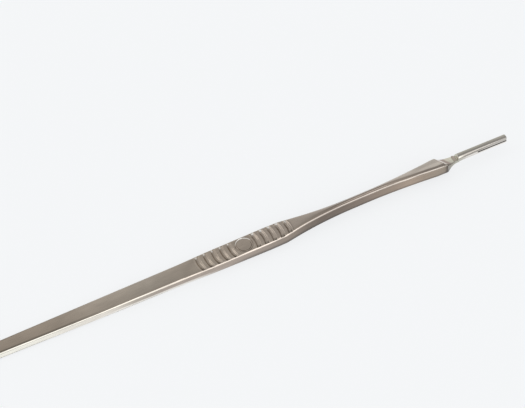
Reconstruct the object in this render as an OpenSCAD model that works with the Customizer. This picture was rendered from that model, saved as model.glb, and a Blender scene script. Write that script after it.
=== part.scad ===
// Scalpel handle, long and slim, for the small blade fitting.
// One forged and milled piece of stainless steel: flat shank, fluted finger grip with a round
// thumb mark, thin waist, shoulder with a sunk blade seat, and a grooved tongue for the blade.
// X runs from the tail end to the tongue tip, Y across the width, Z up from the flat back. The
// origin is below the middle of the whole length, on the plane of the back.

/* [Lengths] */
// Tail end to the first flute of the grip
shank_l = 99.4; // [84:0.2:118]
// Length of the fluted grip zone
grip_l = 31.2; // [27:0.2:37]
// End of the grip to the thinnest point of the waist
taper_l = 26.4; // [22:0.2:32]
// Straight thin part of the waist
waist_l = 2; // [1:0.5:6]
// End of the waist to the full width of the shoulder
flare_l = 23.9; // [19:0.1:28.6]
// Full width of the shoulder to the root of the tongue
head_l = 7.9; // [6.6:0.1:9.6]
// Tongue from its root to its tip
tongue_l = 18.1; // [15:0.1:21.7]

/* [Widths] */
// Width at the tail end, before the round
tail_w = 4.4; // [3.8:0.1:5.4]
// Width of the shank behind the grip
shank_w = 6.4; // [5.6:0.1:7.2]
// Width of the grip
grip_w = 6.9; // [6.2:0.1:8.2]
// Width of the waist
neck_w = 2.0; // [1.7:0.1:2.6]
// Width of the shoulder
head_w = 4.6; // [4:0.1:5.6]

/* [Thickness] */
// Thickness at the tail end
tail_t = 2.0; // [1.7:0.1:2.4]
// Thickness of the waist
neck_t = 4.1; // [3.8:0.1:4.9]
// Height of the crown along the middle of the waist
crown_h = 0.3; // [0:0.05:0.5]
// Rise of the shoulder above the flat back
front_rise = 1.1; // [0.7:0.1:1.4]
// Width and height of the bevels along the upper long edges
edge_bevel = 0.6; // [0.4:0.05:0.65]
// Width of the flat strip along the back, on which the handle lies
back_flat_w = 3.8; // [3:0.1:4]
// Height of the bevels beside the flat strip
back_bevel = 0.3; // [0.15:0.05:0.4]
// Height of the bevel under the tail end
tail_bevel = 0.45; // [0.3:0.05:0.6]

/* [Grip] */
// Number of raised lobes on each side of the thumb mark
lobes = 4; // [3:1:5]
// Width of the plain field round the thumb mark
field_l = 8.8; // [7.6:0.1:10.4]
// Bend radius of the flutes
flute_bend = 10; // [8:0.5:14]
// Share of the pitch of the lobes that each hollow flute takes
flute_share = 0.9; // [0.74:0.02:0.96]
// Depth of the flutes
flute_depth = 0.56; // [0.46:0.02:0.68]
// Rim left between the ends of the flutes and the sides of the grip
flute_rim = 0.38; // [0.3:0.02:0.6]
// Diameter of the round thumb mark, over the middle of its groove
mark_d = 5.2; // [4.4:0.1:6.1]
// Width of the groove of the thumb mark
mark_groove = 0.66; // [0.5:0.02:0.8]

/* [Blade fitting] */
// Width of the tongue
tongue_w = 2.4; // [2:0.05:2.8]
// Height of the tongue
tongue_h = 2.1; // [1.8:0.05:2.4]
// Width of the flat top of the tongue
tongue_top_w = 1.25; // [1:0.05:1.5]
// Tongue underside above the underside of the shoulder
tongue_lift = 1.7; // [1.45:0.05:1.9]
// Blade seat above the tongue underside
seat_h = 0.85; // [0.7:0.05:1]
// Slant of the seat step across the shoulder, degrees
seat_skew = 30; // [20:1:36]
// Radius of the hollow ramp down to the seat
ramp_r = 3; // [2.5:0.1:3.6]
// Height of the blade grooves, blade thickness plus its play
groove_h = 0.46; // [0.4:0.02:0.54]
// Depth of each blade groove
groove_depth = 0.5; // [0.4:0.02:0.6]
// Share of the tongue length that is grooved
groove_share = 0.6; // [0.5:0.02:0.7]
// Radius of the short hollow flank that runs into the tongue
cove_r = 9; // [7.6:0.2:10.6]
// Radius of the long hollow flank on the other side
long_cove_r = 30; // [25:0.5:35]

/* [Hidden] */
$fn = 48;
eps = 0.01;
far = 20;

grip_x = shank_l + grip_l / 2;
kink_x = shank_l + grip_l;
neck_x = kink_x + taper_l;
flare_x = neck_x + waist_l;
head_x = flare_x + flare_l;
root_x = head_x + head_l;
tip_x = root_x + tongue_l;
pitch = (grip_l - field_l) / 2 / lobes;
flute_w = pitch * flute_share;
flute_over = flute_depth * 0.27;
seat_z = front_rise + tongue_lift + seat_h;
tongue_z = front_rise + tongue_lift;
tail_r = tail_w / 2;

function clamp01(t) = min(1, max(0, t));
function smooth(t) = let (u = clamp01(t)) u * u * (3 - 2 * u);

// Plan width along the handle: slow swell of the shank, soft step to the grip, hollow taper to the
// waist and a flare to the shoulder.
function fall(x) = let (u = max(0, x - kink_x + 3.6)) clamp01(u * u / (u + 1.6) / (taper_l + 1.1));
function plain_width(x) =
    x < shank_l - 8 ? tail_w + (shank_w - tail_w) * (1 - pow(1 - clamp01(x / (shank_l * 0.85)), 1.5))
    : x < kink_x - 3.6 ? shank_w + (grip_w - shank_w) * smooth((x - shank_l + 8) / (grip_l * 0.45))
    : x < flare_x ? neck_w + (grip_w - neck_w) * pow(1 - fall(x), 2.4)
    : neck_w + (head_w - neck_w) * pow(clamp01((x - flare_x) / flare_l), 1.8);
function end_share(x) = x >= tail_r ? 1 : sqrt(max(0, 1 - pow(1 - x / tail_r, 2)));
function width_at(x) = max(0.9, plain_width(x) * end_share(x));

// Thickness grows from the tail end to the waist; the back is flat under shank and grip, and from
// the end of the grip it rises straight to the shoulder.
function lift_at(x) = front_rise * clamp01((x - kink_x) / (head_x - kink_x));
function back_at(x) = lift_at(x) + tail_bevel * clamp01(1 - x / tail_r);
function thick_at(x) = tail_t + (neck_t - tail_t) * pow(clamp01(x / (kink_x + 4)), 2);
function top_at(x) = lift_at(x) + thick_at(x);
function crown_at(x) = crown_h * smooth((x - kink_x) / 12) * (1 - 0.7 * smooth((x - flare_x - 6) / 14));

top_slope = atan((top_at(grip_x + 5) - top_at(grip_x - 5)) / 10);

// Stations along the handle, closer together where the outline turns.
stations = concat(
    [for (a = [0 : 15 : 90]) tail_r * (1 - cos(a))],
    [for (i = [0 : 9]) 3 + (shank_l - 14) * i / 10],
    [for (i = [0 : 7]) shank_l - 11 + 17 * i / 8],
    [for (i = [0 : 3]) shank_l + 6 + (grip_l - 8) * i / 4],
    [for (i = [0 : 7]) kink_x - 2 + i],
    [for (i = [0 : 9]) kink_x + 6 + (taper_l - 6) * i / 10],
    [for (i = [0 : 15]) neck_x + (head_x - neck_x) * i / 16],
    [head_x, root_x + 0.6]);

// One cross-section, counted from the lower right round over the crowned top.
function section(x) =
    let (w = width_at(x), zb = back_at(x), zt = top_at(x), c = crown_at(x),
         r = min(edge_bevel, w / 3), b = min(back_bevel, w / 3),
         right = concat(
             [[min(back_flat_w / 2, w / 2 - b), zb], [w / 2, zb + b]],
             [for (p = [[0, 1], [0.1, 0.76], [0.76, 0.1], [1, 0]]) [w / 2 - p[0] * r, zt - p[1] * r]],
             [for (s = [0.72, 0.4]) [s * (w / 2 - r), zt + c * (1 - s * s)]]))
    concat([for (p = right) [x, p[0], p[1]]],
           [[x, 0, zt + c]],
           [for (i = [len(right) - 1 : -1 : 0]) [x, -right[i][0], right[i][1]]]);

module loft() {
    m = len(section(10));
    n = len(stations);
    polyhedron(
        points = [for (x = stations) each section(x)],
        faces = concat(
            [[for (j = [0 : m - 1]) j]],
            [for (i = [0 : n - 2], j = [0 : m - 1])
                let (k = (j + 1) % m) [i * m + j, (i + 1) * m + j, (i + 1) * m + k, i * m + k]],
            [[for (j = [m - 1 : -1 : 0]) (n - 1) * m + j]]),
        convexity = 6);
}

// Places a child on the top face of the grip, turned with its slight slope.
module on_grip() {
    translate([grip_x, 0, top_at(grip_x)]) rotate([0, -top_slope, 0]) children();
}

// Half section of a flute as a soft wave; it leaves the face at a shallow angle, so that the lobes
// between two flutes are rounded.
function wave(t) = flute_over - (flute_depth + flute_over) * (1 + cos(180 * t)) / 2;

// One curved flute; side is 1 towards the tongue and -1 towards the tail.
module flute(at, side) {
    sweep = asin(min(0.95, (grip_w / 2 + 0.8) / flute_bend));
    translate([side * (at - flute_bend), 0, 0]) rotate([0, 0, side > 0 ? -sweep : 180 - sweep])
        rotate_extrude(angle = 2 * sweep, $fn = 96)
            polygon([for (t = [-1 : 0.2 : 1.001]) [flute_bend + t * flute_w / 2, wave(t)]]);
}

// Plan of the fluted field: the outline of the grip, less a rim on each side.
module flute_field() {
    xs = [for (i = [-2 : 12]) shank_l + grip_l * i / 10];
    edge = [for (x = xs) [x - grip_x, width_at(x) / 2 - flute_rim]];
    translate([0, 0, -far / 2]) linear_extrude(far)
        polygon(concat(edge, [for (i = [len(edge) - 1 : -1 : 0]) [edge[i][0], -edge[i][1]]]));
}

module flutes() {
    intersection() {
        union() for (side = [-1, 1], i = [0 : lobes]) flute(field_l / 2 + i * pitch, side);
        flute_field();
    }
}

// Round groove of the thumb mark.
module thumb_mark() {
    rotate_extrude($fn = 96) translate([mark_d / 2, 0.04]) circle(d = mark_groove, $fn = 24);
}

// Hollow ramp and the open space above the blade seat, slanted across the shoulder.
module seat_cut() {
    drop = top_at(head_x) - seat_z;
    run = sqrt(ramp_r * ramp_r - pow(ramp_r - drop, 2));
    translate([head_x + 2, 0, seat_z]) rotate([0, 0, seat_skew]) translate([0, -far / 2, 0]) {
        translate([run, 0, ramp_r]) rotate([-90, 0, 0]) cylinder(r = ramp_r, h = far, $fn = 96);
        translate([run, 0, 0]) cube([far, far, far]);
    }
}

// Space beside the root of the tongue, bounded by a hollow flank of radius r that starts at the
// side of the shoulder and runs out along the tongue; side is the sign of Y.
module cove_cut(side, start, r) {
    half = tongue_w / 2;
    reach = sqrt(r * r - pow(r - (head_w / 2 - half), 2));
    translate([start + reach, side * (half + r), -eps]) cylinder(r = r, h = far, $fn = 240);
    translate([start + reach, side > 0 ? half : -half - far, -eps]) cube([far, far, far]);
}

// Hollow rise of the underside from the shoulder to the tongue.
module belly_cut() {
    r = 5;
    reach = sqrt(r * r - pow(r - tongue_lift, 2));
    translate([root_x, -far / 2, tongue_z - r]) rotate([-90, 0, 0]) cylinder(r = r, h = far, $fn = 96);
    translate([root_x, -far / 2, tongue_z - far]) cube([far, far, far]);
}

// Cross-section of the tongue: base, then a head that narrows to a flat top.
module tongue_section() {
    h = tongue_w / 2;
    t = tongue_top_w / 2;
    shoulder = seat_h + groove_h;
    polygon([[-h + 0.3, 0], [h - 0.3, 0], [h, 0.3], [h, shoulder], [t + 0.12, tongue_h - 0.12],
             [t - 0.06, tongue_h], [-t + 0.06, tongue_h], [-t - 0.12, tongue_h - 0.12],
             [-h, shoulder], [-h, 0.3]]);
}

module tongue() {
    groove_l = tongue_l * groove_share;
    nose = tongue_w / 2;
    difference() {
        intersection() {
            translate([root_x - 1.2, 0, tongue_z]) rotate([90, 0, 90])
                linear_extrude(tongue_l + 1.2) tongue_section();
            // rounded nose in plan
            union() {
                translate([root_x - 2, -tongue_w, 0]) cube([tongue_l + 2 - nose * 0.8, tongue_w * 2, far]);
                intersection() {
                    translate([tip_x - nose * 1.5, 0, 0]) cylinder(r = nose * 1.5, h = far, $fn = 48);
                    translate([tip_x - nose * 1.5, -tongue_w, 0]) cube([far, tongue_w * 2, far]);
                }
            }
            // rounded lower front corner seen from the side
            translate([0, tongue_w, tongue_z]) rotate([90, 0, 0]) linear_extrude(tongue_w * 2) union() {
                translate([root_x - 2, 0]) square([tongue_l + 2 - tongue_h * 0.6, tongue_h]);
                translate([root_x, tongue_h * 0.6]) square([tongue_l - 0.25, tongue_h * 0.4]);
                translate([root_x, tongue_h * 0.6]) square([tongue_l, tongue_h * 0.4 - 0.3]);
                translate([tip_x - tongue_h * 0.6, tongue_h * 0.6]) circle(r = tongue_h * 0.6, $fn = 48);
            }
        }
        // blade grooves, open at the tip
        for (s = [-1, 1])
            translate([tip_x - groove_l, s > 0 ? tongue_w / 2 - groove_depth : -tongue_w, seat_z])
                cube([groove_l + 1, tongue_w / 2 + groove_depth, groove_h]);
        // sloped rear end of the head above the seat
        translate([root_x, -tongue_w, seat_z]) rotate([0, -70, 0]) translate([-eps, 0, 0])
            cube([far / 4, tongue_w * 2, far / 4]);
    }
}

module handle() {
    color([0.62, 0.6, 0.57]) {
        difference() {
            loft();
            on_grip() { flutes(); thumb_mark(); }
            seat_cut();
            cove_cut(-1, head_x + head_l * 0.47, cove_r);
            cove_cut(1, head_x + 0.3, long_cove_r);
            belly_cut();
        }
        tongue();
    }
}

translate([-tip_x / 2, 0, 0]) handle();
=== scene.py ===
"""A long slim scalpel handle of satin steel, dressed for the camera of the photograph."""

import logging
import math
from dataclasses import dataclass, field
from enum import Enum

import bpy
from mathutils import Matrix, Vector


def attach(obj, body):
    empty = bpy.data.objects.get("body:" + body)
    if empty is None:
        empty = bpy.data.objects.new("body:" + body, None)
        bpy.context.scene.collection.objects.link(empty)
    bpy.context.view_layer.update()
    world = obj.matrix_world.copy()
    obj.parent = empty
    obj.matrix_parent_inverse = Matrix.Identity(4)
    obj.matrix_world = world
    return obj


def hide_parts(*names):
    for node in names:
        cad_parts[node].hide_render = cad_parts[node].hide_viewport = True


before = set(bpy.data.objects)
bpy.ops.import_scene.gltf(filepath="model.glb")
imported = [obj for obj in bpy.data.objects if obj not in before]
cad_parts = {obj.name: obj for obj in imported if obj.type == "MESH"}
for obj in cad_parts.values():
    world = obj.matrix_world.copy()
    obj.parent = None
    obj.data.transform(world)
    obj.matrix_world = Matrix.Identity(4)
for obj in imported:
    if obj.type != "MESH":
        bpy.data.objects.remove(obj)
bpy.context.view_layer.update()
IMAGE = (525, 408)
log = logging.getLogger("scalpel_handle")

Socket = bpy.types.NodeSocket
Colour = tuple[float, float, float]
Place = tuple[float, float, float]
Range = tuple[float, float]
Window = tuple[Range, Range]
Tones = tuple[tuple[float, Colour], ...]


class Grind(Enum):
    """How a surface of the handle was ground."""

    FACE = "face"
    FLANK = "flank"
    BEVEL = "bevel"


def mirrored(span: Range) -> Range:
    """Give the same range on the other side of zero."""
    return -span[1], -span[0]


class NodeBoard:
    """Places and joins shader nodes of one material.

    Args:
        name: Name of the material.
    """

    def __init__(self, name: str) -> None:
        """Make an empty material with its output node.

        Args:
            name: Name of the material.
        """
        self.material = bpy.data.materials.new(name)
        self.material.use_nodes = True
        self.tree = self.material.node_tree
        self.tree.nodes.clear()
        self.out = self.tree.nodes.new("ShaderNodeOutputMaterial")

    def add(self, kind: str, **props: object) -> bpy.types.Node:
        """Add a node and set its plain properties.

        Args:
            kind: Node type.
            **props: Property names and values.

        Returns:
            The new node.
        """
        node = self.tree.nodes.new(kind)
        for key, value in props.items():
            setattr(node, key, value)
        return node

    def join(self, source: Socket, target: Socket) -> None:
        """Link two sockets."""
        self.tree.links.new(source, target)

    def math(self, operation: str, *values: Socket | float, clamp: bool = False) -> Socket:
        """Add a Math node.

        Args:
            operation: Name of the operation.
            *values: Sockets or numbers, in the node's order.
            clamp: Keep the result between 0 and 1.

        Returns:
            The node's result.
        """
        node = self.add("ShaderNodeMath", operation=operation, use_clamp=clamp)
        for socket, value in zip(node.inputs, values):
            if isinstance(value, Socket):
                self.join(value, socket)
            else:
                socket.default_value = value
        return node.outputs[0]

    def product(self, *masks: Socket) -> Socket:
        """Multiply masks by each other.

        Args:
            *masks: The masks, two or more.

        Returns:
            Their product.
        """
        result = masks[0]
        for mask in masks[1:]:
            result = self.math("MULTIPLY", result, mask)
        return result

    def ramp(self, source: Socket, stops: list[tuple[float, Colour]]) -> Socket:
        """Add a colour ramp.

        Args:
            source: The value that runs along the ramp.
            stops: Places from 0 to 1 and their colours.

        Returns:
            The ramp's colour.
        """
        node = self.add("ShaderNodeValToRGB")
        self.join(source, node.inputs[0])
        bar = node.color_ramp
        while len(bar.elements) < len(stops):
            bar.elements.new(0.5)
        for element, (place, colour) in zip(bar.elements, stops):
            element.position = place
            element.color = (*colour, 1.0)
        return node.outputs[0]

    def band(self, source: Socket, span: Range, result: Range = (0.0, 1.0)) -> Socket:
        """Map a range smoothly to another one.

        Args:
            source: The value to map.
            span: Start and end of its range.
            result: Results at the start and at the end.

        Returns:
            The mapped value.
        """
        node = self.add("ShaderNodeMapRange", interpolation_type="SMOOTHSTEP")
        self.join(source, node.inputs["Value"])
        node.inputs["From Min"].default_value = span[0]
        node.inputs["From Max"].default_value = span[1]
        node.inputs["To Min"].default_value = result[0]
        node.inputs["To Max"].default_value = result[1]
        return node.outputs["Result"]

    def fall(self, source: Socket, span: Range) -> Socket:
        """Fall from 1 to 0 over a range."""
        return self.band(source, span, (1.0, 0.0))

    def window(self, source: Socket, window: Window) -> Socket:
        """Rise from 0 to 1 over one range and fall back over the next."""
        return self.product(self.band(source, window[0]), self.fall(source, window[1]))

    def mix(self, share: Socket, low: Socket | Colour, high: Socket | Colour) -> Socket:
        """Mix two colours.

        Args:
            share: Share of the second colour.
            low: First colour, a socket or three numbers.
            high: Second colour, a socket or three numbers.

        Returns:
            The mixed colour.
        """
        node = self.add("ShaderNodeMix", data_type="RGBA")
        self.join(share, node.inputs["Factor"])
        for socket, value in ((node.inputs[6], low), (node.inputs[7], high)):
            if isinstance(value, Socket):
                self.join(value, socket)
            else:
                socket.default_value = (*value, 1.0)
        return node.outputs[2]

    def scale(self, colour: Socket, factor: Socket) -> Socket:
        """Make a colour lighter or darker.

        Args:
            colour: The colour.
            factor: What it is multiplied by.

        Returns:
            The scaled colour.
        """
        node = self.add("ShaderNodeVectorMath", operation="SCALE")
        self.join(colour, node.inputs[0])
        self.join(factor, node.inputs["Scale"])
        return node.outputs[0]

    def shade(self, colour: Socket, mask: Socket, factor: float) -> Socket:
        """Multiply a colour by a factor where a mask is 1."""
        return self.scale(colour, self.band(mask, (0.0, 1.0), (1.0, factor)))

    def noise(self, coords: Socket, scale: Place, detail: float) -> Socket:
        """Add a noise texture stretched by a Mapping node.

        Args:
            coords: Coordinates to read.
            scale: Cells a metre along X, Y and Z.
            detail: Octaves of the noise.

        Returns:
            The noise value.
        """
        mapping = self.add("ShaderNodeMapping")
        mapping.inputs["Scale"].default_value = scale
        self.join(coords, mapping.inputs["Vector"])
        tex = self.add("ShaderNodeTexNoise")
        tex.inputs["Scale"].default_value = 1.0
        tex.inputs["Detail"].default_value = detail
        self.join(mapping.outputs[0], tex.inputs["Vector"])
        return tex.outputs[0]


@dataclass(frozen=True)
class Spot:
    """Where a spot of the surface lies and which way it leans, in the handle's own frame.

    Args:
        coords: Object coordinates.
        x: Place along the handle, towards the blade end.
        y: Place across the handle, towards the far side.
        z: Height above the table.
        ahead: Lean towards the blade end.
        far: Lean towards the far side.
        near: Lean towards the near side.
        upright: Lean straight up or down.
    """

    coords: Socket
    x: Socket
    y: Socket
    z: Socket
    ahead: Socket
    far: Socket
    near: Socket
    upright: Socket

    @classmethod
    def read(cls, board: NodeBoard) -> "Spot":
        """Read place and lean from the piece.

        Args:
            board: The material's node board.

        Returns:
            The spot.
        """
        texture = board.add("ShaderNodeTexCoord")
        coords = texture.outputs["Object"]
        place = board.add("ShaderNodeSeparateXYZ")
        board.join(coords, place.inputs[0])
        lean = board.add("ShaderNodeSeparateXYZ")
        board.join(texture.outputs["Normal"], lean.inputs[0])
        ahead, far, up = lean.outputs
        near = board.math("MULTIPLY", far, -1.0)
        return cls(coords, *place.outputs, ahead, far, near, board.math("ABSOLUTE", up))


@dataclass(frozen=True)
class Edges:
    """Masks of the broad faces and of the lines along their edges.

    Args:
        level: 1 on the broad faces, 0 on the flanks.
        bevel: 1 on the polished bevels, which get a lower roughness and a painted highlight colour.
        clear: 1 away from the bevels.
        rim: 1 on the painted dark line where the near bevel meets the face, and on a painted dark
            strip along the face's near edge.
        inset: Distance from the near flank in metres.
    """

    level: Socket
    bevel: Socket
    clear: Socket
    rim: Socket
    inset: Socket


@dataclass(frozen=True)
class Zones:
    """Ranges over which the tones of the steel and its painted light and shade fade in or out.

    Places, heights and distances are in metres, and leans are parts of a unit normal.

    Args:
        tail_end: Places from the rounded tail end to the straight body.
        level_lean: Upright lean from flank to broad face.
        tail_lean: The same on the rounded tail end, which fades softly.
        cross_lean: Lean along the handle at which the edge lines stop.
        bevel_lean: Sideways lean of the bevels.
        bevel_sides: Near lean from the far bevel to the near one.
        bevel_inset: Distance from the flank at which a bevel stops.
        bevel_clear: Strength of the bevel that keeps the tones of the flutes off it.
        rim_lean: Near lean of the painted dark line by the bevel.
        rim_inset: Distance from the near flank at which the painted dark line stops.
        crown_lean: Far lean across the crown of the broad face.
        ramp: Places of the hollow ramp.
        hollow_lean: Lean ahead from the shoulder into the ramp.
        ridge_lean: Lean ahead on the painted bright ridge of the ramp.
        shoulder: Places of the dim part of the shoulder.
        shoulder_far: Places across from its near half to its far one.
        half: Distance from the middle line at which either half begins.
        half_lean: Lean towards the middle line of the slopes in either half.
        grip_stop: Places where the painted dark slopes of the near half stop.
        last_flute: Distances of an outermost flute from the middle of its bend.
        last_flute_run: Distance along the handle from that middle at which it shows.
        grip_middle: Distance ahead of the thumb mark, from the rear half to the front one.
        flute_depth: Depth below the broad face at which a flute takes the painted shadow.
        flute_inset: Distance from the near flank within which it is dark.
        flute_stop: Places where the flutes stop.
        low_height: Height at which the painted shade of the lower flank stops.
        low_start: Places where it starts.
        under_height: Height at which the painted shade on the flank under the grip stops.
        under: Places of that flank.
        foot_height: Height at which the painted pale highlight of the foot stops.
        foot: Places of the pale foot.
        foot_lean: Near lean of the pale foot.
        groove_height: Heights of the blade groove.
        groove_start: Places where the groove starts.
    """

    tail_end: Range = (-0.1042, -0.1022)
    level_lean: Range = (0.42, 0.58)
    tail_lean: Range = (0.1, 1.0)
    cross_lean: Range = (0.4, 0.6)
    bevel_lean: Window = ((0.58, 0.68), (0.84, 0.92))
    bevel_sides: Range = (-0.3, 0.3)
    bevel_inset: Range = (0.00048, 0.0006)
    bevel_clear: Range = (0.0, 0.3)
    rim_lean: Window = ((0.1, 0.26), (0.56, 0.68))
    rim_inset: Range = (0.0009, 0.0014)
    crown_lean: Range = (-0.2, 0.2)
    ramp: Window = ((0.070, 0.074), (0.0855, 0.0865))
    hollow_lean: Range = (0.06, 0.16)
    ridge_lean: Range = (0.36, 0.44)
    shoulder: Window = ((0.068, 0.073), (0.0805, 0.083))
    shoulder_far: Range = (-0.0005, 0.0008)
    half: Range = (0.0004, 0.001)
    half_lean: Range = (0.12, 0.3)
    grip_stop: Range = (0.03, 0.035)
    last_flute: Window = ((0.0100, 0.0104), (0.0112, 0.0115))
    last_flute_run: Range = (0.004, 0.006)
    grip_middle: Range = (-0.001, 0.001)
    flute_depth: Range = (0.0001, 0.00028)
    flute_inset: Range = (0.0011, 0.0019)
    flute_stop: Range = (0.026, 0.028)
    low_height: Range = (0.0006, 0.0016)
    low_start: Range = (-0.005, 0.02)
    under_height: Range = (0.0004, 0.0026)
    under: Window = ((0.0, 0.012), (0.032, 0.038))
    foot_height: Range = (0.0008, 0.0013)
    foot: Window = ((-0.044, -0.034), (-0.012, 0.003))
    foot_lean: Range = (0.2, 0.6)
    groove_height: Window = ((0.00352, 0.00364), (0.00410, 0.00422))
    groove_start: Range = (0.0934, 0.0938)


@dataclass(frozen=True)
class SatinSteel:
    """Forged stainless steel: satin broad faces, warmer flanks darkened by painted shade, polished
    bevels with painted highlights.

    The tones change along the handle: besides the steel's own colour they hold painted reflections
    and shade, lighter or darker where the light falls differently on each part.

    Args:
        face: Places along X in metres and the colour of the broad faces there, with painted
            reflections and shade.
        flank: Places along X in metres and the colour of the narrow flanks there, with painted
            reflections and shade: pale at the tail, dark at the waist.
        bevel_highlight: Places along X in metres and the colour of the painted highlight on the
            polished bevels there.
        shadow: Places along X in metres and the colour where a bevel meets the face.
        bright: Colour of the slopes that catch the most light.
        foot: Colour of the painted pale highlight on the flank's lower edge behind the grip.
        hollow: Colour of the painted shade on the hollow ramp before the blade seat.
        half_width: Places along X in metres and the half width there, as a share of widest.
        widest: Half width in metres that the shares belong to.
        reach: Half length in metres that the rows of places span.
        zones: Ranges over which the tones fade.
        far_bevel: Strength of the far bevel's painted highlight against the near one's.
        crown_shades: Factors of painted shade on the near-leaning side and painted highlight on the
            far-leaning side of the crown.
        shoulder_shade: Factor of the painted shade on the dim part of the shoulder.
        ridge_share: Share of painted highlight on the ridge of the ramp.
        slope_shade: Factor of painted shade on the slopes of the near half that face the middle
            line.
        last_flute_gains: Gain of the outermost flute behind and ahead of the thumb mark: painted
            lightening behind, painted shade ahead.
        flute_shade: Factor of the painted shadow in the near ends of the flutes.
        low_shade: Factor of the painted shade on the lower flank.
        under_shade: Factor of the painted shade on the flank under the grip.
        groove_shade: Factor of the painted shade in the blade groove.
        mark_place: Place of the thumb mark along X.
        bend_offset: Distance from it to the middle of the outermost flute's bend.
        face_height: Height of the broad face at the thumb mark.
        face_slope: Rise of the broad face along X.
        lift_start: Place along X where the back begins to rise.
        lift_run: Length over which it rises.
        lift: Height that it rises.
        roughness: Mean roughness of each grind.
        rough_grain: Roughness that the grain adds or takes.
        tone_span: Range of grain and clouds over which they act.
        tone_depth: Share by which grain and clouds change a colour.
        grain_cells: Cells a metre of the fine grain.
        grain_detail: Octaves of the fine grain.
        cloud_cells: Cells a metre of the soft clouds.
        cloud_detail: Octaves of the soft clouds.
        grain_depth: Depth of the grain in metres.
        grain_strength: Strength of the bump that the grain makes.
    """

    face: Tones = (
        (-0.06, (0.38, 0.32, 0.26)),
        (-0.023, (0.44, 0.39, 0.33)),
        (0.0, (0.40, 0.34, 0.28)),
        (0.046, (0.38, 0.33, 0.29)),
        (0.058, (0.41, 0.35, 0.30)),
        (0.066, (0.56, 0.50, 0.44)),
        (0.08, (0.66, 0.60, 0.53)),
        (0.084, (0.72, 0.69, 0.58)),
        (0.0861, (0.82, 0.81, 0.70)),
        (0.0868, (0.51, 0.485, 0.42)),
        (0.10, (0.48, 0.455, 0.40)),
    )
    flank: Tones = (
        (-0.1042, (0.46, 0.41, 0.35)),
        (-0.098, (0.70, 0.66, 0.59)),
        (-0.082, (0.95, 0.92, 0.83)),
        (-0.068, (0.95, 0.92, 0.83)),
        (-0.040, (0.78, 0.73, 0.66)),
        (-0.029, (0.50, 0.45, 0.39)),
        (-0.02, (0.47, 0.40, 0.35)),
        (0.014, (0.37, 0.31, 0.265)),
        (0.029, (0.26, 0.215, 0.18)),
        (0.037, (0.19, 0.155, 0.13)),
        (0.052, (0.235, 0.19, 0.16)),
        (0.07, (0.44, 0.35, 0.28)),
        (0.0811, (0.36, 0.305, 0.25)),
        (0.0819, (0.12, 0.10, 0.085)),
        (0.0826, (0.10, 0.08, 0.07)),
        (0.0835, (0.40, 0.37, 0.32)),
        (0.0865, (0.56, 0.55, 0.47)),
        (0.088, (0.60, 0.58, 0.52)),
        (0.0898, (0.88, 0.84, 0.79)),
    )
    bevel_highlight: Tones = (
        (-0.06, (0.62, 0.60, 0.54)),
        (-0.034, (0.66, 0.62, 0.55)),
        (-0.02, (0.60, 0.55, 0.485)),
        (-0.008, (0.65, 0.575, 0.505)),
        (0.005, (0.62, 0.55, 0.485)),
        (0.025, (0.66, 0.585, 0.52)),
        (0.036, (0.43, 0.38, 0.34)),
        (0.052, (0.39, 0.345, 0.31)),
        (0.066, (0.48, 0.43, 0.38)),
        (0.08, (0.49, 0.44, 0.39)),
        (0.0874, (0.68, 0.66, 0.59)),
        (0.0884, (0.47, 0.44, 0.40)),
        (0.094, (0.48, 0.45, 0.41)),
        (0.1015, (0.66, 0.63, 0.59)),
    )
    shadow: Tones = (
        (-0.055, (0.20, 0.17, 0.14)),
        (-0.035, (0.37, 0.32, 0.27)),
        (0.025, (0.36, 0.31, 0.26)),
        (0.043, (0.24, 0.20, 0.17)),
        (0.058, (0.25, 0.21, 0.18)),
        (0.064, (0.37, 0.31, 0.26)),
        (0.074, (0.26, 0.22, 0.19)),
        (0.081, (0.25, 0.215, 0.185)),
        (0.087, (0.33, 0.31, 0.28)),
    )
    bright: Colour = (1.0, 0.97, 0.92)
    foot: Colour = (0.88, 0.84, 0.78)
    hollow: Colour = (0.50, 0.42, 0.37)
    half_width: tuple[tuple[float, float], ...] = (
        (-0.1044, 0.55),
        (-0.0844, 0.6325),
        (-0.0594, 0.72),
        (-0.02, 0.80),
        (0.001, 0.8625),
        (0.0226, 0.8625),
        (0.0276, 0.68),
        (0.0326, 0.50),
        (0.0376, 0.37),
        (0.0426, 0.2925),
        (0.0546, 0.25),
        (0.0617, 0.2875),
        (0.0665, 0.343),
        (0.0725, 0.444),
        (0.0785, 0.575),
        (0.0862, 0.575),
        (0.0868, 0.30),
    )
    widest: float = 0.004
    reach: float = 0.105
    zones: Zones = Zones()
    far_bevel: float = 0.35
    crown_shades: Range = (0.88, 1.12)
    shoulder_shade: float = 0.78
    ridge_share: float = 0.7
    slope_shade: float = 0.55
    last_flute_gains: Range = (0.12, -0.2)
    flute_shade: float = 0.7
    low_shade: float = 0.64
    under_shade: float = 0.74
    groove_shade: float = 0.6
    mark_place: float = 0.01055
    bend_offset: float = 0.0056
    face_height: float = 0.003533
    face_slope: float = 0.0275
    lift_start: float = 0.0262
    lift_run: float = 0.0602
    lift: float = 0.0011
    roughness: tuple[tuple[Grind, float], ...] = (
        (Grind.FACE, 0.28),
        (Grind.FLANK, 0.22),
        (Grind.BEVEL, 0.16),
    )
    rough_grain: float = 0.05
    tone_span: Range = (0.3, 0.7)
    tone_depth: float = 0.16
    grain_cells: Place = (260.0, 9000.0, 9000.0)
    grain_detail: float = 4.0
    cloud_cells: Place = (60.0, 160.0, 160.0)
    cloud_detail: float = 2.0
    grain_depth: float = 0.000004
    grain_strength: float = 0.35

    def tone(self, board: NodeBoard, coords: Socket) -> Socket:
        """Mix fine grain along the handle with soft clouds.

        Args:
            board: The material's node board.
            coords: Object coordinates.

        Returns:
            A value about 0.5.
        """
        grain = board.noise(coords, self.grain_cells, self.grain_detail)
        cloud = board.noise(coords, self.cloud_cells, self.cloud_detail)
        halves = [board.math("MULTIPLY", noise, 0.5) for noise in (grain, cloud)]
        return board.math("ADD", *halves)

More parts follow.
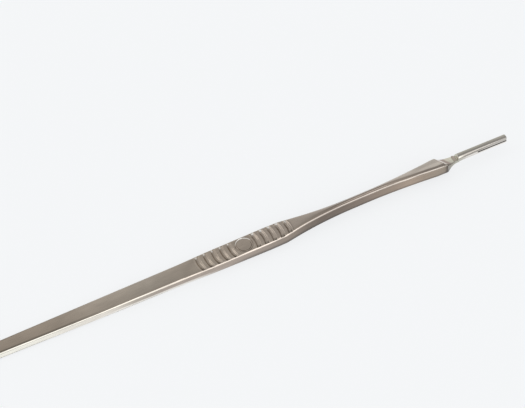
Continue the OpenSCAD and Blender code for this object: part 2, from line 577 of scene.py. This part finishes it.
    def along(self, board: NodeBoard, x: Socket, tones: Tones) -> Socket:
        """Run a row of tones along the handle.

        Args:
            board: The material's node board.
            x: Place along the handle in metres.
            tones: Places in metres and their colours.

        Returns:
            The colour at the place.
        """
        span = 2.0 * self.reach
        share = board.math("DIVIDE", board.math("ADD", x, self.reach), span)
        return board.ramp(share, [((place + self.reach) / span, colour) for place, colour in tones])

    def find_edges(self, board: NodeBoard, spot: Spot) -> Edges:
        """Tell broad faces, flanks, bevels and the lines by them apart.

        Args:
            board: The material's node board.
            spot: Place and lean of the surface.

        Returns:
            The masks.
        """
        zones = self.zones
        body = board.band(spot.x, zones.tail_end)
        level = board.product(board.band(spot.upright, zones.level_lean), body)
        tail = board.math("SUBTRACT", 1.0, body)
        tail = board.product(board.band(spot.upright, zones.tail_lean), tail)
        level = board.math("ADD", level, tail)
        cross = board.math("ABSOLUTE", spot.ahead)
        straight = board.product(board.fall(cross, zones.cross_lean), body)
        shares = tuple((place, (share, share, share)) for place, share in self.half_width)
        half = board.math("MULTIPLY", self.along(board, spot.x, shares), self.widest)
        inset = board.math("ADD", spot.y, half)
        nearest = board.math("MINIMUM", inset, board.math("SUBTRACT", half, spot.y))
        bevel = board.product(
            board.window(board.math("ABSOLUTE", spot.near), zones.bevel_lean),
            board.band(spot.near, zones.bevel_sides, (self.far_bevel, 1.0)),
            straight,
            board.fall(nearest, zones.bevel_inset),
        )
        line = board.product(board.window(spot.near, zones.rim_lean), straight)
        strip = board.product(board.fall(inset, zones.rim_inset), level)
        rim = board.math("MAXIMUM", line, strip)
        return Edges(level, bevel, board.fall(bevel, zones.bevel_clear), rim, inset)

    def face_colour(self, board: NodeBoard, spot: Spot) -> Socket:
        """Colour the broad faces, with painted shade and highlight by the crown's lean, painted
        shade on the shoulder and the hollow ramp, and a painted highlight on the ramp's ridge.

        Args:
            board: The material's node board.
            spot: Place and lean of the surface.

        Returns:
            The colour.
        """
        zones = self.zones
        crown = board.band(spot.far, zones.crown_lean, self.crown_shades)
        colour = board.scale(self.along(board, spot.x, self.face), crown)
        dim = board.window(spot.x, zones.shoulder)
        dim = board.product(dim, board.band(spot.y, zones.shoulder_far))
        colour = board.shade(colour, dim, self.shoulder_shade)
        ramp = board.window(spot.x, zones.ramp)
        hollow = board.product(ramp, board.band(spot.ahead, zones.hollow_lean))
        colour = board.mix(hollow, colour, self.hollow)
        ridge = board.product(ramp, board.band(spot.ahead, zones.ridge_lean))
        return board.mix(board.math("MULTIPLY", ridge, self.ridge_share), colour, self.bright)

    def base_colour(self, board: NodeBoard, spot: Spot, edges: Edges) -> Socket:
        """Put faces, flanks, the painted dark lines and the painted bevel highlights together.

        Args:
            board: The material's node board.
            spot: Place and lean of the surface.
            edges: Masks of the edges.

        Returns:
            The colour.
        """
        flank = self.along(board, spot.x, self.flank)
        colour = board.mix(edges.level, flank, self.face_colour(board, spot))
        colour = board.mix(edges.rim, colour, self.along(board, spot.x, self.shadow))
        # The bevels take a painted highlight colour.
        return board.mix(edges.bevel, colour, self.along(board, spot.x, self.bevel_highlight))

    def light_slopes(self, board: NodeBoard, spot: Spot, edges: Edges, colour: Socket) -> Socket:
        """Paint highlights on the slopes that face the middle line in the far half, and shade on
        the near ones.

        Args:
            board: The material's node board.
            spot: Place and lean of the surface.
            edges: Masks of the edges.
            colour: The colour so far.

        Returns:
            The colour with bright and dark slopes.
        """
        zones = self.zones
        far = board.product(board.band(spot.y, zones.half), board.band(spot.near, zones.half_lean))
        colour = board.mix(far, colour, self.bright)
        near = board.product(
            board.fall(spot.y, mirrored(zones.half)),
            board.fall(spot.near, mirrored(zones.half_lean)),
            board.fall(spot.x, zones.grip_stop),
            edges.level,
        )
        return board.shade(colour, near, self.slope_shade)

    def shade_flutes(self, board: NodeBoard, spot: Spot, edges: Edges, colour: Socket) -> Socket:
        """Paint light and shade onto the outermost flutes and a shadow into the near ends of all
        flutes.

        Args:
            board: The material's node board.
            spot: Place and lean of the surface.
            edges: Masks of the edges.
            colour: The colour so far.

        Returns:
            The colour with toned flutes.
        """
        zones = self.zones
        off = board.math("SUBTRACT", spot.x, self.mark_place)
        run = board.math("SUBTRACT", board.math("ABSOLUTE", off), self.bend_offset)
        squares = [board.math("POWER", side, 2.0) for side in (run, spot.y)]
        bend = board.math("SQRT", board.math("ADD", *squares))
        last = board.window(bend, zones.last_flute)
        run_mask = board.band(run, zones.last_flute_run)
        last = board.product(last, edges.level, edges.clear, run_mask)
        gain = board.band(off, zones.grip_middle, self.last_flute_gains)
        gain = board.math("ADD", 1.0, board.math("MULTIPLY", last, gain))
        colour = board.scale(colour, gain)
        top = board.math("MULTIPLY", off, self.face_slope)
        top = board.math("ADD", top, self.face_height)
        deep = board.product(
            board.band(board.math("SUBTRACT", top, spot.z), zones.flute_depth),
            board.fall(edges.inset, zones.flute_inset),
            edges.level,
            board.fall(spot.x, zones.flute_stop),
            edges.clear,
        )
        return board.shade(colour, deep, self.flute_shade)

    def shade_flanks(self, board: NodeBoard, spot: Spot, colour: Socket) -> Socket:
        """Paint shade on the lower flanks and a pale highlight on the near one's foot behind the
        grip.

        Args:
            board: The material's node board.
            spot: Place and lean of the surface.
            colour: The colour so far.

        Returns:
            The colour with toned flanks.
        """
        zones = self.zones
        rise = board.math("SUBTRACT", spot.x, self.lift_start)
        rise = board.math("DIVIDE", rise, self.lift_run, clamp=True)
        rise = board.math("MULTIPLY", rise, self.lift)
        height = board.math("SUBTRACT", spot.z, rise)
        low = board.fall(height, zones.low_height)
        low = board.product(low, board.band(spot.x, zones.low_start))
        colour = board.shade(colour, low, self.low_shade)
        under = board.fall(height, zones.under_height)
        under = board.product(under, board.window(spot.x, zones.under))
        colour = board.shade(colour, under, self.under_shade)
        pale = board.product(
            board.fall(spot.z, zones.foot_height),
            board.window(spot.x, zones.foot),
            board.band(spot.near, zones.foot_lean),
        )
        return board.mix(pale, colour, self.foot)

    def shade_groove(self, board: NodeBoard, spot: Spot, colour: Socket) -> Socket:
        """Paint shade into the blade grooves of the tongue.

        Args:
            board: The material's node board.
            spot: Place and lean of the surface.
            colour: The colour so far.

        Returns:
            The colour with dark grooves.
        """
        groove = board.window(spot.z, self.zones.groove_height)
        groove = board.product(groove, board.band(spot.x, self.zones.groove_start))
        return board.shade(colour, groove, self.groove_shade)

    def make_shader(self, board: NodeBoard, colour: Socket, tone: Socket, edges: Edges) -> None:
        """Make the metal with its roughness and the relief of its grain.

        Args:
            board: The material's node board.
            colour: The steel's colour.
            tone: Grain and clouds.
            edges: Masks of the edges.
        """
        shader = board.add("ShaderNodeBsdfPrincipled")
        shader.inputs["Metallic"].default_value = 1.0
        depth = (1.0 - self.tone_depth, 1.0 + self.tone_depth)
        colour = board.scale(colour, board.band(tone, self.tone_span, depth))
        board.join(colour, shader.inputs["Base Color"])
        rough = dict(self.roughness)
        base = board.band(edges.level, (0.0, 1.0), (rough[Grind.FLANK], rough[Grind.FACE]))
        gain = board.math("MULTIPLY", edges.bevel, rough[Grind.BEVEL] - rough[Grind.FACE])
        grain = board.band(tone, self.tone_span, (self.rough_grain, -self.rough_grain))
        total = board.math("ADD", board.math("ADD", base, gain), grain)
        board.join(total, shader.inputs["Roughness"])
        bump = board.add("ShaderNodeBump")
        bump.inputs["Strength"].default_value = self.grain_strength
        bump.inputs["Distance"].default_value = self.grain_depth
        board.join(tone, bump.inputs["Height"])
        board.join(bump.outputs[0], shader.inputs["Normal"])
        board.join(shader.outputs[0], board.out.inputs["Surface"])

    def build(self, name: str) -> bpy.types.Material:
        """Make the material.

        Args:
            name: Name of the material.

        Returns:
            The finished material.
        """
        board = NodeBoard(name)
        spot = Spot.read(board)
        edges = self.find_edges(board, spot)
        colour = self.base_colour(board, spot, edges)
        colour = self.light_slopes(board, spot, edges, colour)
        colour = self.shade_flutes(board, spot, edges, colour)
        colour = self.shade_flanks(board, spot, colour)
        colour = self.shade_groove(board, spot, colour)
        self.make_shader(board, colour, self.tone(board, spot.coords), edges)
        return board.material


@dataclass(frozen=True)
class PaleBoard:
    """Matt pale table board.

    Args:
        colour: Base colour.
        glow: Strength of the light that it gives off, in the base colour.
        roughness: Its roughness.
    """

    colour: Colour = (0.2, 0.203, 0.206)
    glow: float = 3.68
    roughness: float = 0.9

    def build(self, name: str) -> bpy.types.Material:
        """Make the material.

        Args:
            name: Name of the material.

        Returns:
            The finished material.
        """
        board = NodeBoard(name)
        shader = board.add("ShaderNodeBsdfPrincipled")
        shader.inputs["Base Color"].default_value = (*self.colour, 1.0)
        shader.inputs["Roughness"].default_value = self.roughness
        shader.inputs["Emission Color"].default_value = (*self.colour, 1.0)
        shader.inputs["Emission Strength"].default_value = self.glow
        board.join(shader.outputs[0], board.out.inputs["Surface"])
        return board.material


@dataclass
class Handle:
    """The one forged piece: its solid with softly broken edges.

    Args:
        node: Name of the solid.
        merge: Distance within which points are merged, metres.
        flat: Angle up to which neighbouring triangles are joined, degrees.
        edge_break: Width of the broken edges, metres.
        edge_steps: Faces across a broken edge.
        crease: Angle from which an edge is broken, degrees.
        smooth: Angle up to which faces are shaded smooth, degrees.
        finish: Steel finish of the whole piece, with light and shade painted into its colours.
    """

    node: str = "handle"
    merge: float = 0.000002
    flat: float = 0.4
    edge_break: float = 0.00011
    edge_steps: int = 2
    crease: float = 24.0
    smooth: float = 32.0
    finish: SatinSteel = field(default_factory=SatinSteel)

    def copy_solid(self) -> bpy.types.Object:
        """Copy the solid and merge its loose triangles into one closed skin.

        Returns:
            The copy, alone selected.
        """
        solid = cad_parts[self.node]
        bpy.ops.object.select_all(action="DESELECT")
        solid.hide_set(False)
        solid.select_set(True)
        bpy.context.view_layer.objects.active = solid
        bpy.ops.object.duplicate()
        piece = bpy.context.object
        piece.name = "forged_handle"
        bpy.ops.object.mode_set(mode="EDIT")
        bpy.ops.mesh.select_all(action="SELECT")
        bpy.ops.mesh.remove_doubles(threshold=self.merge)
        bpy.ops.mesh.dissolve_limited(angle_limit=math.radians(self.flat))
        bpy.ops.object.mode_set(mode="OBJECT")
        return piece

    def break_edges(self, piece: bpy.types.Object) -> None:
        """Round every sharp edge a little and shade the faces smooth.

        Args:
            piece: The merged copy.
        """
        bevel = piece.modifiers.new("edge_break", "BEVEL")
        bevel.width = self.edge_break
        bevel.segments = self.edge_steps
        bevel.limit_method = "ANGLE"
        bevel.angle_limit = math.radians(self.crease)
        bevel.use_clamp_overlap = True
        bpy.ops.object.modifier_apply(modifier="edge_break")
        bpy.ops.object.shade_smooth_by_angle(angle=math.radians(self.smooth))

    def build(self) -> bpy.types.Object:
        """Make the visible piece and let it stand for the solid.

        Returns:
            The finished piece.
        """
        piece = self.copy_solid()
        self.break_edges(piece)
        piece.data.materials.clear()
        piece.data.materials.append(self.finish.build("satin_steel"))
        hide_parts(self.node)
        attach(piece, "root")
        return piece


@dataclass(frozen=True)
class Softbox:
    """A flat soft light that looks at the handle.

    Args:
        name: Name of the light.
        place: Its place in metres.
        size: Width and height in metres.
        power: Watts.
    """

    name: str
    place: Place
    size: tuple[float, float]
    power: float

    def hang(self) -> bpy.types.Object:
        """Hang the light.

        Returns:
            The light.
        """
        data = bpy.data.lights.new(self.name, "AREA")
        data.shape = "RECTANGLE"
        data.size, data.size_y = self.size
        data.energy = self.power
        light = bpy.data.objects.new(self.name, data)
        bpy.context.scene.collection.objects.link(light)
        light.location = self.place
        light.rotation_mode = "QUATERNION"
        light.rotation_quaternion = (-Vector(self.place)).to_track_quat("-Z", "Y")
        return light


@dataclass
class Studio:
    """Floor, light and camera.

    Args:
        turn: Angle of the camera round the handle, degrees.
        rise: Height of the camera above the floor, degrees.
        distance: Camera to the thumb mark, metres.
        pixels_per_metre: Image scale at the thumb mark.
        mark: Place of the thumb mark.
        mark_pixel: Place of the thumb mark in the image.
        sensor: Width of the camera's sensor, millimetres.
        sight: Nearest and farthest distance that the camera sees, metres.
        floor_size: Side of the table board, metres.
        floor_gap: Gap between the table board and the handle, metres.
        ambience: Brightness of the surround.
        softboxes: The lights.
    """

    turn: float = 27.7
    rise: float = 50.5
    distance: float = 1.6
    pixels_per_metre: float = 3200.0
    mark: Place = (0.01055, 0.0, 0.0036)
    mark_pixel: tuple[float, float] = (243.9, 244.6)
    sensor: float = 36.0
    sight: Range = (0.01, 20.0)
    floor_size: float = 6.0
    floor_gap: float = 0.00002
    ambience: float = 0.72
    softboxes: tuple[Softbox, ...] = (
        Softbox("near", (0.5, -1.4, 1.1), (1.1, 0.9), 3.4),
        Softbox("far_left", (-1.3, 0.9, 1.2), (0.6, 0.6), 1.6),
    )

    def floor(self) -> bpy.types.Object:
        """Lay the table board under the handle.

        Returns:
            The floor.
        """
        bpy.ops.object.select_all(action="DESELECT")
        bpy.ops.mesh.primitive_plane_add(size=self.floor_size, location=(0, 0, -self.floor_gap))
        board = bpy.context.object
        board.name = "table_board"
        board.data.materials.append(PaleBoard().build("pale_board"))
        return board

    def surround(self) -> None:
        """Light the scene evenly from all round."""
        world = bpy.data.worlds.new("surround")
        bpy.context.scene.world = world
        world.use_nodes = True
        shade = world.node_tree.nodes["Background"]
        shade.inputs[0].default_value = (1.0, 1.0, 1.0, 1.0)
        shade.inputs[1].default_value = self.ambience

    def light(self) -> None:
        """Light the surround and hang the lights."""
        self.surround()
        for softbox in self.softboxes:
            softbox.hang()

    def camera(self) -> bpy.types.Object:
        """Set the camera so that the thumb mark lies where the photograph has it.

        Returns:
            The camera.
        """
        turn, rise = math.radians(-self.turn), math.radians(self.rise)
        ground = math.cos(rise)
        back = Vector((math.sin(turn) * ground, -math.cos(turn) * ground, math.sin(rise)))
        right = Vector((math.cos(turn), math.sin(turn), 0.0))
        up = back.cross(right)
        across = (self.mark_pixel[0] - IMAGE[0] / 2) / self.pixels_per_metre
        above = (IMAGE[1] / 2 - self.mark_pixel[1]) / self.pixels_per_metre
        data = bpy.data.cameras.new("camera")
        data.sensor_width = self.sensor
        data.lens = self.pixels_per_metre * self.distance * data.sensor_width / IMAGE[0]
        data.clip_start, data.clip_end = self.sight
        eye = bpy.data.objects.new("camera", data)
        bpy.context.scene.collection.objects.link(eye)
        place = Vector(self.mark) - right * across - up * above + back * self.distance
        axes = Matrix((right, up, back)).transposed().to_4x4()
        eye.matrix_world = Matrix.Translation(place) @ axes
        bpy.context.scene.camera = eye
        return eye


def main() -> None:
    """Build and dress everything in order."""
    logging.basicConfig(level=logging.INFO)
    handle = Handle().build()
    log.info("handle: %d faces", len(handle.data.polygons))
    studio = Studio()
    studio.floor()
    log.info("table board laid")
    studio.light()
    log.info("%d softboxes hung", len(studio.softboxes))
    studio.camera()
    log.info("camera set")
    bpy.context.scene.view_settings.view_transform = "Standard"


if __name__ == "__main__":
    main()
